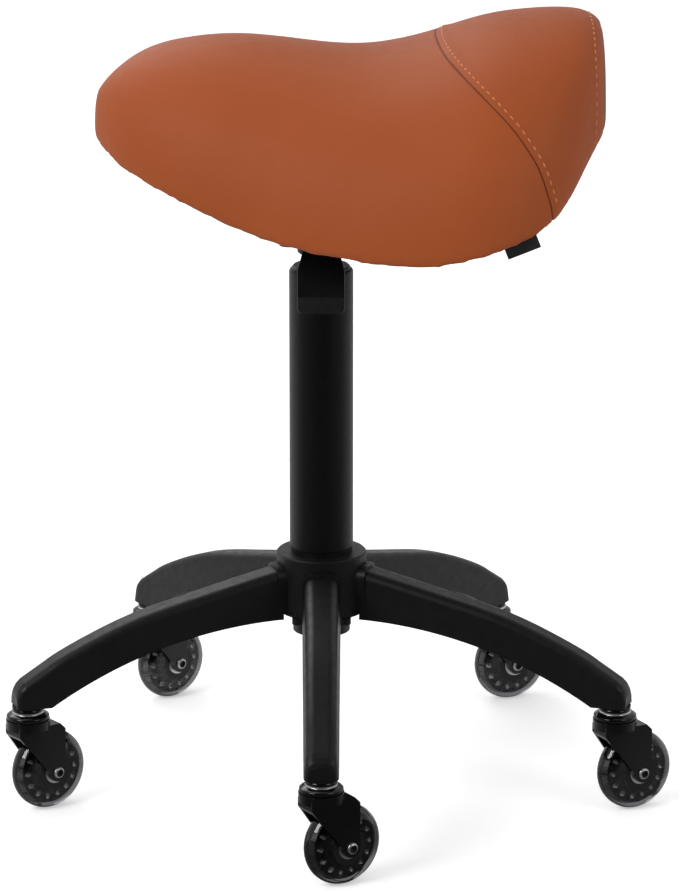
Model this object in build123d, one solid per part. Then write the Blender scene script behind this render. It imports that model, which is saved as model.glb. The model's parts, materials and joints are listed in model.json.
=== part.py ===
"""Saddle stool: gas-lift column on a five-arm base with swivel casters and a saddle seat.

Millimetres. The origin lies on the floor under the column, +Z is up, and the seat's nose points along -X.
"""
import math
import os

from build123d import *

# Clearances
running_clearance = 0.05
seating_clearance = 0.1
moving_gap = 0.4
edge_chamfer = 1.0
cut_margin = 1.0

# Caster wheels
wheel_diameter = 63.5
wheel_width = 22.0
core_housing_diameter = 29.0
core_flange_diameter = 50.0
core_flange_thickness = 5.0
core_hole_count = 14
core_hole_diameter = 4.0
core_hole_circle = 42.0
core_bearing_ledge = 2.0
bearing_outer_diameter = 19.0
bearing_bore = 8.0
bearing_width = 6.0
bearing_ring_wall = 1.6
bearing_shield_depth = 0.6
tyre_shoulder_diameter = 38.0

# Caster forks and stems
caster_trail = 18.0
caster_headings = (33.0, 29.0, 25.0, 40.0, 38.0)
fork_gap = 24.4
fork_thickness = 2.3
fork_plate_thickness = 3.0
fork_wheel_gap = 5.5
fork_leg_radius = 7.5
fork_front = 14.5
fork_front_width = 20.0
fork_front_depth = 7.0
fork_bend = 2.5
fork_shelf_chamfer = 5.0
race_diameter = 34.5
race_height = 4.5
cap_diameter = 33.5
cap_rim_height = 3.0
cap_height = 5.0
collar_diameter = 24.5
collar_height = 4.5
stem_diameter = 11.0
stem_length = 17.5
stem_head_diameter = 18.0
stem_head_height = 3.2
grip_ring_height = 3.0
grip_ring_depth = 1.2
grip_ring_offset = 10.0
grip_ring_slit = 1.0
axle_head_diameter = 8.8
axle_head_height = 2.4
axle_socket_width = 4.0
axle_socket_depth = 1.6
axle_spacer_wall = 1.6

# Base arms and hub
arm_count = 5
first_arm_angle = -90.0
caster_circle_radius = 241.0
arm_tip_overhang = 10.8
arm_tip_height = 16.0
arm_boss_diameter = 24.5
arm_boss_height = 1.0
arm_pad_margin = 4.0
arm_rise = 61.5
arm_root_step = 2.0
arm_root_drop = 6.6
arm_straight_end = 125.0
arm_straight_slope = 13.2
arm_root_top_half = 12.8
arm_root_bottom_half = 15.2
arm_tip_top_half = 11.2
arm_tip_bottom_half = 13.2
arm_station_count = 8
arm_corner_radius = 7.0
arm_end_round = 7.0
arm_end_angles = (0, 30, 55, 78)
arm_wall = 4.0
arm_rib_count = 3
arm_rib_thickness = 3.0
hub_diameter = 71.0
hub_height = 43.5
hub_edge_round = 1.2
hub_core_diameter = 55.0
pocket_half_width = 14.6
pocket_top_inset = 8.5
pocket_corner_radius = 9.0
tee_half_width = 15.8
tee_depth = 3.0
tee_drop = 4.0
clamp_ring_diameter = 68.0
clamp_ring_thickness = 5.0
hub_bolt_circle = 64.4
hub_bolt_diameter = 4.2
hub_bolt_depth = 18.0
hub_bolt_head_diameter = 8.5
hub_bolt_head_height = 4.8
hub_bolt_socket_width = 4.0

# Gas-lift column
column_diameter = 50.0
column_wall = 2.2
column_length = 294.0
column_exposed_taper = 4.0
column_step = 0.6
column_tail_diameter = 45.0
column_tail_wall = 2.0
column_floor_thickness = 3.5
column_tail_length = 22.0
column_edge_round = 2.0
bush_length = 75.0
bush_flange_diameter = 43.0
bush_flange_height = 2.5
cylinder_diameter = 28.0
cylinder_wall = 1.7
cylinder_lead = 3.5
cylinder_taper_length = 38.0
cylinder_taper_end_diameter = 26.4
cylinder_head_length = 18.0
gland_length = 22.0
rod_diameter = 10.0
rod_tail_diameter = 8.0
rod_tail_overhang = 7.0
piston_length = 12.0
piston_end_gap = 1.5
piston_groove = 1.5
piston_nut_height = 4.0
lift_stroke = 200.0
race_washer_diameter = 26.0
race_washer_thickness = 2.0
thrust_ball_diameter = 4.0
thrust_ball_count = 10
thrust_ball_circle = 18.0
cage_thickness = 1.2
bump_stop_diameter = 24.0
bump_stop_height = 8.4
bump_stop_taper = 1.5
clip_thickness = 1.4
clip_diameter = 15.0
clip_groove_depth = 0.9
clip_washer_diameter = 18.0
clip_washer_thickness = 2.4
valve_pin_diameter = 6.0
valve_pin_dome_radius = 5.0
valve_pin_stand_out = 5.5
valve_pin_tail = 6.0

# Seat plate and lever
plate_thickness = 3.0
plate_length = 100.0
plate_width = 124.0
plate_corner_radius = 12.0
pan_length = 64.0
pan_width = 84.0
pan_depth = 32.0
pan_corner_radius = 8.0
plate_bolt_spacing_x = 80.0
plate_bolt_spacing_y = 102.0
plate_hole_diameter = 6.6
seat_bolt_diameter = 6.0
seat_bolt_head_diameter = 11.0
seat_bolt_head_height = 4.0
seat_bolt_socket_width = 4.0
tee_nut_barrel_diameter = 8.0
tee_nut_flange_diameter = 18.0
tee_nut_flange_thickness = 1.4
socket_diameter = 37.0
socket_lead = 10.0
socket_length = 28.0
lever_width = 18.0
lever_thickness = 4.0
lever_slope = 29.0
lever_headroom = 4.0
lever_flat_reach = 14.0
lever_inner_reach = 7.0
lever_pivot_reach = 28.0
lever_eye_diameter = 9.0
lever_pin_diameter = 5.0
lever_pin_overhang = 1.5
lever_side_gap = 1.0
lever_slot_margin = 4.5
lever_ear_thickness = 3.0
lever_ear_width = 12.0
lever_tip_cover = 14.0
paddle_start = 58.0
paddle_break = 110.0
paddle_half_width = 18.0
paddle_neck_half_width = 13.0
paddle_shoulder = 83.0
paddle_skin = 1.6
paddle_lip_angle = 72.0
paddle_lip_length = 12.7
paddle_corner_radius = 4.5

# Seat
board_thickness = 11.0
board_inset = 12.0
board_flat_half = 62.0
board_side_radius = 260.0
board_half_span = 168.0
board_front_bend = -64.0
board_front_end = -176.0
board_front_rise = 48.0
board_rear_bend = 85.0
board_rear_end = 216.0
board_plan_rear = 186.0
board_rear_rise = 29.0
board_front_fillet = 60.0
board_rear_fillet = 150.0
under_cover_thickness = 1.0
under_cover_gap = 1.0
cover_thickness = 2.0
shoulder_share = 0.62
shoulder_drop_share = 0.18
tab_length = 26.0
tab_height = 9.0
tab_thickness = 1.4
tab_place = 148.0
tab_inset = 5.0
tab_gap = 1.8

# Seat stations along X: half width and bottom at the lower edge, crown height, both above the board's flat
seat_stations = (
    (-173.5, 14.0, 52.0, 77.5),
    (-167.0, 32.0, 45.5, 88.5),
    (-155.0, 54.0, 36.5, 100.5),
    (-135.0, 76.0, 27.0, 113.5),
    (-102.0, 98.0, 14.0, 122.5),
    (-62.0, 115.0, -1.5, 125.0),
    (-15.0, 136.0, -13.5, 120.0),
    (35.0, 156.0, -18.5, 116.0),
    (85.0, 167.0, -18.5, 125.5),
    (130.0, 166.0, -8.0, 139.0),
    (165.0, 148.0, 6.0, 144.0),
    (190.0, 118.0, 32.0, 145.0),
    (207.0, 84.0, 57.0, 141.0),
    (216.0, 50.0, 70.0, 129.0),
)

# Heights worked out from the floor up
wheel_radius = wheel_diameter / 2
fork_plate_top = wheel_diameter + fork_wheel_gap + fork_plate_thickness
race_top = fork_plate_top + race_height
cap_bottom = race_top + moving_gap
cap_top = cap_bottom + cap_height
arm_seat_height = cap_top + collar_height
arm_tip_bottom = arm_seat_height + arm_boss_height
hub_bottom = arm_seat_height + arm_rise
hub_top = hub_bottom + hub_height
column_bottom = hub_bottom - column_tail_length
column_top = column_bottom + column_length
taper_top = hub_top + column_exposed_taper
lower_race_bottom = column_bottom + column_floor_thickness
ball_floor = lower_race_bottom + race_washer_thickness
upper_race_bottom = ball_floor + thrust_ball_diameter
rod_shoulder = upper_race_bottom + race_washer_thickness
bump_stop_bottom = rod_shoulder + seating_clearance
cylinder_bottom = bump_stop_bottom + bump_stop_height + moving_gap
gland_top = cylinder_bottom + gland_length
piston_bottom = gland_top + lift_stroke + piston_end_gap
bush_top = column_top + bush_flange_height
taper_start = bush_top + cylinder_lead
cylinder_top = taper_start + cylinder_taper_length
socket_bottom = bush_top + socket_lead
valve_pin_top = cylinder_top + valve_pin_stand_out
lever_underside = valve_pin_top + moving_gap
seat_height = lever_underside + lever_thickness + lever_headroom
pan_bottom = seat_height - pan_depth

# Shared radii
stem_radius = stem_diameter / 2
column_radius = column_diameter / 2
cylinder_radius = cylinder_diameter / 2
fork_half_outer = fork_gap / 2 + fork_thickness
hub_radius = hub_diameter / 2
pocket_floor = hub_core_diameter / 2
arm_root = hub_radius + moving_gap
arm_tip = caster_circle_radius + arm_tip_overhang
arm_belly_end = caster_circle_radius - arm_boss_diameter / 2 - arm_pad_margin
arm_angles = [first_arm_angle + index * 360 / arm_count for index in range(arm_count)]
pillar_angles = [angle + 180 / arm_count for angle in arm_angles]


def write(node, shape):
    """Write one named piece."""
    export_step(shape, f"parts/{node}.step")


def turned(*outline):
    """Revolve an outline of (radius, height) points about +Z."""
    return revolve(make_face(Plane.XZ * Polyline(*outline, close=True)), Axis.Z)


def ring(inner, outer, bottom, top):
    """Plain ring about +Z between two heights."""
    return turned((inner, bottom), (outer, bottom), (outer, top), (inner, top))


def rod_along_z(radius, bottom, top):
    """Plain round bar about +Z between two heights."""
    return Pos(0, 0, bottom) * Cylinder(radius, top - bottom, align=(Align.CENTER, Align.CENTER, Align.MIN))


def on_circle(shape, radius, angle):
    """Place a shape made at the origin at a radius and an angle about +Z."""
    return Rot(0, 0, angle) * Pos(radius, 0, 0) * shape


def hex_socket(width, depth):
    """Hexagon socket that opens at the origin and runs down -Z."""
    return extrude(RegularPolygon(width / 2, 6, major_radius=False), -depth)


def column_taper_radius(height):
    """Outside radius of the column's tapered tail at a height."""
    large = column_radius - column_step
    small = column_tail_diameter / 2
    return small + (large - small) * (height - column_bottom) / (taper_top - column_bottom)


def cylinder_taper_radius(height):
    """Outside radius of the gas cylinder's tapered head at a height."""
    small = cylinder_taper_end_diameter / 2
    return cylinder_radius + (small - cylinder_radius) * (height - taper_start) / cylinder_taper_length


# Base hub and clamp ring
def arch(half_width, bottom, top, corner):
    """Upright face with two rounded top corners, in the plane whose normal is +X."""
    outline = make_face(Polyline((-half_width, bottom), (half_width, bottom), (half_width, top),
                                 (-half_width, top), close=True))
    rounded = fillet(outline.vertices().group_by(Axis.Y)[-1], corner)
    return Plane(origin=(0, 0, 0), x_dir=(0, 1, 0), z_dir=(1, 0, 0)) * rounded


def arm_root_block(clearance, outer):
    """Tee-shaped root of an arm, or the pocket it slides into from below, along +X."""
    top = hub_top - pocket_top_inset - clearance
    neck = arch(pocket_half_width - clearance, hub_bottom, top, pocket_corner_radius)
    tee = arch(tee_half_width - clearance, hub_bottom, top - tee_drop, pocket_corner_radius)
    start = pocket_floor + clearance
    tee_end = pocket_floor + tee_depth - clearance
    return Pos(start, 0, 0) * (extrude(neck, outer - start) + extrude(tee, tee_end - start))


def base_hub():
    """Cast hub with a tapered bore, arched arm pockets and screw holes in its pillars."""
    bore_top = column_taper_radius(hub_top) + running_clearance
    bore_bottom = column_taper_radius(hub_bottom) + running_clearance
    body = turned((bore_bottom, hub_bottom), (hub_radius, hub_bottom), (hub_radius, hub_top - hub_edge_round),
                  (hub_radius - hub_edge_round, hub_top), (bore_top, hub_top))
    pocket = arm_root_block(0, hub_radius + pocket_half_width)
    hole = rod_along_z(hub_bolt_diameter / 2 + running_clearance, hub_bottom, hub_bottom + hub_bolt_depth)
    for angle in arm_angles:
        body -= Rot(0, 0, angle) * pocket
    for angle in pillar_angles:
        body -= on_circle(hole, hub_bolt_circle / 2, angle)
    return body


def clamp_ring():
    """Ring under the hub that shuts the arm pockets."""
    bore = column_taper_radius(hub_bottom) + moving_gap
    bottom = hub_bottom - clamp_ring_thickness
    body = ring(bore, clamp_ring_diameter / 2, bottom, hub_bottom)
    hole = rod_along_z(hub_bolt_diameter / 2 + seating_clearance, bottom, hub_bottom)
    for angle in pillar_angles:
        body -= on_circle(hole, hub_bolt_circle / 2, angle)
    return body


def hub_bolts():
    """Socket screws that hold the clamp ring to the hub's pillars."""
    head_top = hub_bottom - clamp_ring_thickness
    head_bottom = head_top - hub_bolt_head_height
    screw = rod_along_z(hub_bolt_head_diameter / 2, head_bottom, head_top)
    screw += rod_along_z(hub_bolt_diameter / 2, head_top, hub_bottom + hub_bolt_depth - moving_gap)
    socket = hex_socket(hub_bolt_socket_width, hub_bolt_head_height / 2)
    screw -= Pos(0, 0, head_bottom) * Rot(180, 0, 0) * socket
    return Compound(children=[on_circle(screw, hub_bolt_circle / 2, angle) for angle in pillar_angles])


# Base arms
def arc_height(start, start_angle, end, radius):
    """Height at a radius on the arc that leaves a start point at an angle and ends at an end point."""
    chord_angle = math.atan2(end[1] - start[1], end[0] - start[0])
    turn = 2 * (chord_angle - start_angle)
    bend = math.dist(start, end) / (2 * math.sin(turn / 2))
    centre_x = start[0] - bend * math.sin(start_angle)
    centre_y = start[1] + bend * math.cos(start_angle)
    return centre_y - math.copysign(math.sqrt(bend ** 2 - (radius - centre_x) ** 2), bend)


def arm_top(radius):
    """Height of an arm's upper line: straight from the hub, then arched down to the tip."""
    root_top = hub_top - pocket_top_inset - seating_clearance - arm_root_step
    slope = -math.radians(arm_straight_slope)
    bend = (arm_straight_end, root_top + (arm_straight_end - arm_root) * math.tan(slope))
    if radius < arm_straight_end:
        return root_top + (radius - arm_root) * math.tan(slope)
    return arc_height(bend, slope, (arm_tip, arm_tip_bottom + arm_tip_height), radius)


def arm_belly(radius):
    """Height of an arm's lower line: one arc that leaves the hub level and ends at the tip's pad."""
    return arc_height((arm_root, hub_bottom - arm_root_drop), 0, (arm_belly_end, arm_tip_bottom), radius)


def arm_section(radius, top_inset, side_inset, bottom, corner):
    """Cross-section of an arm at a radius: a trapezium with rounded top corners."""
    along = (radius - arm_root) / (arm_tip - arm_root)
    top_half = arm_root_top_half + (arm_tip_top_half - arm_root_top_half) * along - side_inset
    bottom_half = arm_root_bottom_half + (arm_tip_bottom_half - arm_root_bottom_half) * along - side_inset
    top = arm_top(min(radius, arm_tip)) - top_inset
    outline = make_face(Polyline((-bottom_half, bottom), (bottom_half, bottom), (top_half, top),
                                 (-top_half, top), close=True))
    rounded = fillet(outline.vertices().group_by(Axis.Y)[-1], corner)
    return Plane(origin=(radius, 0, 0), x_dir=(0, 1, 0), z_dir=(1, 0, 0)) * rounded


def stations(start, end, count):
    """Evenly spaced radii from start to end."""
    return [start + (end - start) * index / (count - 1) for index in range(count)]


def arm_along_x():
    """One cast arm along +X: tee root, arched channel with cross ribs, and a boss with the stem's hole."""
    shoulder = arm_tip - arm_end_round
    body = loft([arm_section(r, 0, 0, arm_belly(r), arm_corner_radius)
                 for r in stations(arm_root, arm_belly_end, arm_station_count)])
    body += loft([arm_section(r, 0, 0, arm_tip_bottom, arm_corner_radius) for r in (arm_belly_end, shoulder)],
                 ruled=True)
    rounds = []
    for angle in arm_end_angles:
        step = math.radians(angle)
        drop = arm_end_round * (1 - math.cos(step))
        rounds.append(arm_section(shoulder + arm_end_round * math.sin(step), drop, drop / 2, arm_tip_bottom,
                                  arm_corner_radius))
    body += loft(rounds, ruled=True)
    body += arm_root_block(seating_clearance, arm_root + arm_wall)
    channel_start = arm_root + 3 * arm_wall
    channel_end = arm_belly_end - arm_wall
    channel = loft([arm_section(r, arm_wall, arm_wall, arm_belly(r) - arm_wall, arm_corner_radius - arm_wall)
                    for r in stations(channel_start, channel_end, arm_station_count - 1)])
    pitch = (channel_end - channel_start) / (arm_rib_count + 1)
    for index in range(arm_rib_count):
        rib_place = channel_start + pitch * (index + 1)
        rib_bottom = arm_belly(rib_place) + arm_wall
        rib_top = arm_top(rib_place)
        rib = Box(arm_rib_thickness, 2 * arm_root_bottom_half, rib_top - rib_bottom)
        channel -= Pos(rib_place, 0, (rib_top + rib_bottom) / 2) * rib
    body -= channel
    boss = rod_along_z(arm_boss_diameter / 2, arm_seat_height, arm_tip_bottom)
    socket_top = arm_seat_height + stem_length + moving_gap
    socket = rod_along_z(stem_radius + seating_clearance, arm_seat_height, socket_top)
    at_stem = Pos(caster_circle_radius, 0, 0)
    return body + at_stem * boss - at_stem * socket


# Casters, made with the stem on the Z axis and the wheel trailing along +X
def caster_stem():
    """Fixed stem with its rivet head, dished upper race and collar."""
    head_top = fork_plate_top - fork_plate_thickness - moving_gap
    head_bottom = head_top - stem_head_height
    stem_top = arm_seat_height + stem_length
    ring_bottom = arm_seat_height + grip_ring_offset
    groove = ring(stem_radius - grip_ring_depth, stem_radius + grip_ring_depth,
                  ring_bottom, ring_bottom + grip_ring_height)
    head = stem_head_diameter / 2
    cap = cap_diameter / 2
    collar = collar_diameter / 2
    body = turned((0, head_bottom), (head - edge_chamfer, head_bottom), (head, head_top),
                  (stem_radius, head_top), (stem_radius, cap_bottom), (cap, cap_bottom),
                  (cap, cap_bottom + cap_rim_height), (collar + edge_chamfer, cap_top), (collar, cap_top),
                  (collar, arm_seat_height - edge_chamfer), (collar - edge_chamfer, arm_seat_height),
                  (stem_radius, arm_seat_height), (stem_radius, stem_top - edge_chamfer),
                  (stem_radius - edge_chamfer, stem_top), (0, stem_top))
    return body - groove


def grip_ring():
    """Sprung ring in the stem's groove."""
    bottom = arm_seat_height + grip_ring_offset + running_clearance
    top = bottom + grip_ring_height - 2 * running_clearance
    inner = stem_radius - grip_ring_depth + running_clearance
    body = ring(inner, stem_radius + running_clearance, bottom, top)
    return body - Pos(stem_radius, 0, bottom) * Box(stem_radius, grip_ring_slit, 3 * grip_ring_height)


def fork_plan(inset):
    """Plan of the fork: straight round the wheel, drawn in to the swivel at the front."""
    half = fork_half_outer - inset
    front_half = fork_front_width / 2 - inset
    rear = caster_trail + fork_leg_radius + 2 * inset
    front = inset - fork_front
    return make_face(Polyline((front, -front_half), (fork_bend, -half), (rear, -half), (rear, half),
                              (fork_bend, half), (front, front_half), close=True))


def at_axle(shape):
    """Lay a shape made about +Z on the wheel's axle."""
    return Pos(caster_trail, 0, wheel_radius) * Rot(90, 0, 0) * shape


def caster_fork():
    """Pressed fork: two legs folded down from a top plate that carries the lower race."""
    plate_bottom = fork_plate_top - fork_plate_thickness
    rear = caster_trail + fork_leg_radius
    leg_end = at_axle(Cylinder(fork_leg_radius, 2 * fork_half_outer))
    side = make_face(Plane.XZ * Polyline(
        (-fork_front, fork_plate_top), (rear - fork_shelf_chamfer, fork_plate_top),
        (rear, fork_plate_top - fork_shelf_chamfer), (rear, wheel_radius),
        (caster_trail - fork_leg_radius, wheel_radius), (-fork_front, fork_plate_top - fork_front_depth),
        close=True))
    profile = extrude(side, fork_half_outer, both=True) + leg_end
    lowest = wheel_radius - fork_leg_radius
    body = Pos(0, 0, lowest) * extrude(fork_plan(0), fork_plate_top - lowest) & profile
    hollow = extrude(fork_plan(fork_thickness), plate_bottom - lowest + cut_margin)
    body -= Pos(0, 0, lowest - cut_margin) * hollow
    body += rod_along_z(race_diameter / 2, plate_bottom, race_top)
    body -= rod_along_z(stem_radius + running_clearance, 0, race_top)
    return body - at_axle(Cylinder(bearing_bore / 2 + running_clearance, 4 * fork_half_outer))


def caster_axle():
    """Axle bolt with a head, the nut at its other end and two spacers beside the wheel."""
    radius = bearing_bore / 2 - running_clearance
    half = fork_half_outer
    hub_half = wheel_width / 2 + seating_clearance
    head_radius = axle_head_diameter / 2
    head_bottom = half + seating_clearance
    head_top = half + axle_head_height
    bolt = rod_along_z(radius, -head_top, head_bottom)
    head = turned((0, head_bottom), (head_radius, head_bottom), (head_radius, head_top - edge_chamfer),
                  (head_radius - edge_chamfer, head_top), (0, head_top))
    socket = Pos(0, 0, head_top) * hex_socket(axle_socket_width, axle_socket_depth)
    nut = ring(radius, head_radius, -head_top, -head_bottom)
    spacer = ring(radius + running_clearance, bearing_bore / 2 + axle_spacer_wall, hub_half,
                  fork_gap / 2 - seating_clearance)
    pieces = [bolt + head - socket, nut, spacer, mirror(spacer, Plane.XY)]
    return at_axle(Compound(children=pieces))


def wheel_core():
    """Moulded core: bearing housing and a thin flange with a ring of holes that grips the tyre."""
    half = wheel_width / 2
    seat = half - bearing_width
    housing = core_housing_diameter / 2
    flange = core_flange_diameter / 2
    web = core_flange_thickness / 2
    bearing = bearing_outer_diameter / 2 + running_clearance
    shoulder = bearing - core_bearing_ledge
    body = turned((shoulder, -seat), (bearing, -seat), (bearing, -half), (housing, -half), (housing, -web),
                  (flange, -web), (flange, web), (housing, web), (housing, half), (bearing, half),
                  (bearing, seat), (shoulder, seat))
    hole = Cylinder(core_hole_diameter / 2, 2 * core_flange_thickness)
    for index in range(core_hole_count):
        body -= on_circle(hole, core_hole_circle / 2, index * 360 / core_hole_count)
    return body


def wheel_tyre(core):
    """Round-shouldered tyre cast over the core's flange."""
    half = wheel_width / 2
    inner = core_housing_diameter / 2
    shoulder = tyre_shoulder_diameter / 2
    crown = ThreePointArc((shoulder, half), (wheel_radius, 0), (shoulder, -half))
    sides = Polyline((shoulder, -half), (inner, -half), (inner, half), (shoulder, half))
    outline = make_face(Plane.XZ * (crown + sides))
    return revolve(outline, Axis.Z) - core


def wheel_bearings():
    """Two ball bearings with sunk shields, seated at the ends of the core's housing."""
    half = wheel_width / 2
    bore = bearing_bore / 2
    outer = bearing_outer_diameter / 2
    wall = bearing_ring_wall
    sunk = half - bearing_shield_depth
    inner_face = half - bearing_width
    body = turned((bore, inner_face), (outer, inner_face), (outer, half), (outer - wall, half),
                  (outer - wall, sunk), (bore + wall, sunk), (bore + wall, half), (bore, half))
    return Compound(children=[body, mirror(body, Plane.XY)])


# Gas-lift column
def column_tube():
    """Outer tube with a rolled top, a stepped tapered tail and a floor with the rod's hole."""
    inner = column_radius - column_wall
    tail_inner = column_tail_diameter / 2 - column_tail_wall
    step = column_taper_radius(taper_top)
    roll = column_edge_round
    hole = rod_tail_diameter / 2 + seating_clearance
    tail = column_taper_radius(column_bottom)
    return turned((hole, column_bottom), (tail, column_bottom), (step, taper_top),
                  (column_radius - column_step / 2, taper_top), (column_radius, taper_top + column_step),
                  (column_radius, column_top - roll), (column_radius - roll / 3, column_top - roll / 3),
                  (column_radius - roll, column_top), (inner, column_top), (inner, taper_top + column_wall),
                  (tail_inner, taper_top - column_tail_wall), (tail_inner, lower_race_bottom),
                  (hole, lower_race_bottom))


def guide_bush():
    """Plastic bush in the tube's mouth that guides the gas cylinder."""
    bore = cylinder_radius + running_clearance
    outer = column_radius - column_wall - running_clearance
    flange = bush_flange_diameter / 2
    return turned((bore, column_top - bush_length), (outer, column_top - bush_length), (outer, column_top),
                  (outer, column_top + bush_flange_height / 2), (flange, bush_top), (bore, bush_top))


def gas_cylinder():
    """Pressure tube with a tapered head, bored for the valve pin."""
    inner = cylinder_radius - cylinder_wall
    pin = valve_pin_diameter / 2 + running_clearance
    head_bottom = cylinder_top - cylinder_head_length
    outer = cylinder_radius
    return turned((inner, cylinder_bottom), (outer, cylinder_bottom), (outer, taper_start),
                  (cylinder_taper_end_diameter / 2, cylinder_top), (pin, cylinder_top), (pin, head_bottom),
                  (inner, head_bottom))


def cylinder_gland():
    """Guide and seal pack that shuts the cylinder's lower end round the rod."""
    outer = cylinder_radius - cylinder_wall - running_clearance
    return ring(rod_diameter / 2 + running_clearance, outer, cylinder_bottom, gland_top)


def piston_rod():
    """Rod with a stepped tail that turns in the tube's floor and a groove for the clip."""
    bar = rod_diameter / 2
    tail = rod_tail_diameter / 2
    tail_bottom = column_bottom - rod_tail_overhang
    groove_top = column_bottom - clip_washer_thickness - running_clearance
    groove_bottom = groove_top - clip_thickness - 2 * running_clearance
    top = piston_bottom + piston_length + piston_nut_height
    groove = tail - clip_groove_depth
    return turned((0, tail_bottom), (tail, tail_bottom), (tail, groove_bottom), (groove, groove_bottom),
                  (groove, groove_top), (tail, groove_top), (tail, rod_shoulder), (bar, rod_shoulder),
                  (bar, piston_bottom), (tail, piston_bottom), (tail, top), (0, top))


def piston():
    """Piston on the rod's upper end with a seal groove."""
    outer = cylinder_radius - cylinder_wall - 2 * running_clearance
    bore = rod_tail_diameter / 2 + running_clearance
    middle = piston_bottom + piston_length / 2
    low = middle - piston_groove
    high = middle + piston_groove
    floor = outer - piston_groove
    top = piston_bottom + piston_length
    return turned((bore, piston_bottom), (outer, piston_bottom), (outer, low), (floor, low), (floor, high),
                  (outer, high), (outer, top), (bore, top))


def race_washer(bottom, bore):
    """One flat race of the thrust bearing."""
    return ring(bore, race_washer_diameter / 2, bottom, bottom + race_washer_thickness)


def thrust_ball_cage():
    """Cage of the thrust bearing with its balls."""
    middle = ball_floor + thrust_ball_diameter / 2
    ball_radius = thrust_ball_diameter / 2 - running_clearance
    cage = ring(rod_tail_diameter / 2 + moving_gap, race_washer_diameter / 2,
                middle - cage_thickness / 2, middle + cage_thickness / 2)
    pocket = Pos(0, 0, middle) * Cylinder(ball_radius + running_clearance, 2 * cage_thickness)
    balls = []
    for index in range(thrust_ball_count):
        angle = index * 360 / thrust_ball_count
        cage -= on_circle(pocket, thrust_ball_circle / 2, angle)
        balls.append(on_circle(Pos(0, 0, middle) * Sphere(ball_radius), thrust_ball_circle / 2, angle))
    return Compound(children=[cage] + balls)


def bump_stop():
    """Rubber ring round the rod that the cylinder comes down on."""
    outer = bump_stop_diameter / 2
    top = bump_stop_bottom + bump_stop_height
    bore = rod_diameter / 2 + seating_clearance
    return turned((bore, bump_stop_bottom), (outer, bump_stop_bottom), (outer - bump_stop_taper, top),
                  (bore, top))


def clip_washer():
    """Washer under the tube's floor."""
    bore = rod_tail_diameter / 2 + seating_clearance
    return ring(bore, clip_washer_diameter / 2, column_bottom - clip_washer_thickness, column_bottom)


def retaining_clip():
    """Sprung clip in the rod's groove."""
    top = column_bottom - clip_washer_thickness - 2 * running_clearance
    groove = rod_tail_diameter / 2 - clip_groove_depth + running_clearance
    body = ring(groove, clip_diameter / 2, top - clip_thickness, top)
    mouth = Box(clip_diameter, 2 * groove, 4 * clip_thickness)
    return body - Pos(clip_diameter / 2, 0, top) * mouth


def valve_pin():
    """Release pin with a domed tip that stands out of the cylinder's head."""
    radius = valve_pin_diameter / 2
    bottom = cylinder_top - cylinder_head_length - valve_pin_tail
    bar = rod_along_z(radius, bottom, valve_pin_top)
    dome = Pos(0, 0, valve_pin_top - valve_pin_dome_radius) * Sphere(valve_pin_dome_radius)
    below = rod_along_z(radius, bottom, valve_pin_top - valve_pin_dome_radius)
    return below + (bar & dome)


# Seat plate and lever
def bolt_places():
    """Centres of the seat bolts."""
    half_x = plate_bolt_spacing_x / 2
    half_y = plate_bolt_spacing_y / 2
    return [(x, y) for x in (-half_x, half_x) for y in (-half_y, half_y)]


def lever_height(reach):
    """Height of the lever's underside at a distance from the column towards -Y."""
    return lever_underside - max(0, reach - lever_flat_reach) * math.tan(math.radians(lever_slope))


def lever_pivot_height():
    """Height of the lever's pivot axis, under the strip."""
    return lever_height(lever_pivot_reach) - lever_eye_diameter / 4


def seat_plate():
    """Pressed plate with a pan in its middle, ears for the lever's pin and a slot for the lever."""
    flange = extrude(RectangleRounded(plate_length, plate_width, plate_corner_radius), -plate_thickness)
    pan = extrude(RectangleRounded(pan_length, pan_width, pan_corner_radius), -pan_depth)
    hollow = RectangleRounded(pan_length - 2 * plate_thickness, pan_width - 2 * plate_thickness,
                              pan_corner_radius - plate_thickness)
    body = flange + pan - extrude(hollow, plate_thickness - pan_depth)
    body = Pos(0, 0, seat_height) * body
    for x, y in bolt_places():
        body -= Pos(x, y, 0) * rod_along_z(plate_hole_diameter / 2, pan_bottom, seat_height)
    body -= rod_along_z(socket_diameter / 2 + running_clearance, pan_bottom, seat_height)
    ear_inner = lever_width / 2 + lever_side_gap
    ear_top = lever_pivot_height() + lever_ear_width / 2
    ear_height = ear_top - pan_bottom - plate_thickness
    ear = Box(lever_ear_thickness, lever_ear_width, ear_height, align=(Align.MIN, Align.CENTER, Align.MIN))
    ear = Pos(ear_inner, -lever_pivot_reach, pan_bottom + plate_thickness) * ear
    body += [ear, mirror(ear, Plane.YZ)]
    pin_hole = Rot(0, 90, 0) * Cylinder(lever_pin_diameter / 2 + running_clearance, plate_length)
    inside = Box(pan_length - 2 * plate_thickness, pan_width, pan_depth)
    body -= Pos(0, -lever_pivot_reach, lever_pivot_height()) * (pin_hole & inside)
    slot_middle = lever_height(pan_width / 2) + lever_thickness / 2
    slot = Box(lever_width + 2 * lever_side_gap, 4 * plate_thickness, lever_thickness + 2 * lever_slot_margin)
    return body - Pos(0, -pan_width / 2, slot_middle) * slot


def taper_socket():
    """Welded socket that seats on the cylinder's tapered head."""
    top = socket_bottom + socket_length
    bottom_bore = cylinder_taper_radius(socket_bottom) + running_clearance
    top_bore = cylinder_taper_radius(top) + running_clearance
    outer = socket_diameter / 2
    return turned((bottom_bore, socket_bottom), (outer - edge_chamfer, socket_bottom),
                  (outer, socket_bottom + edge_chamfer), (outer, top), (top_bore, top))


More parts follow.
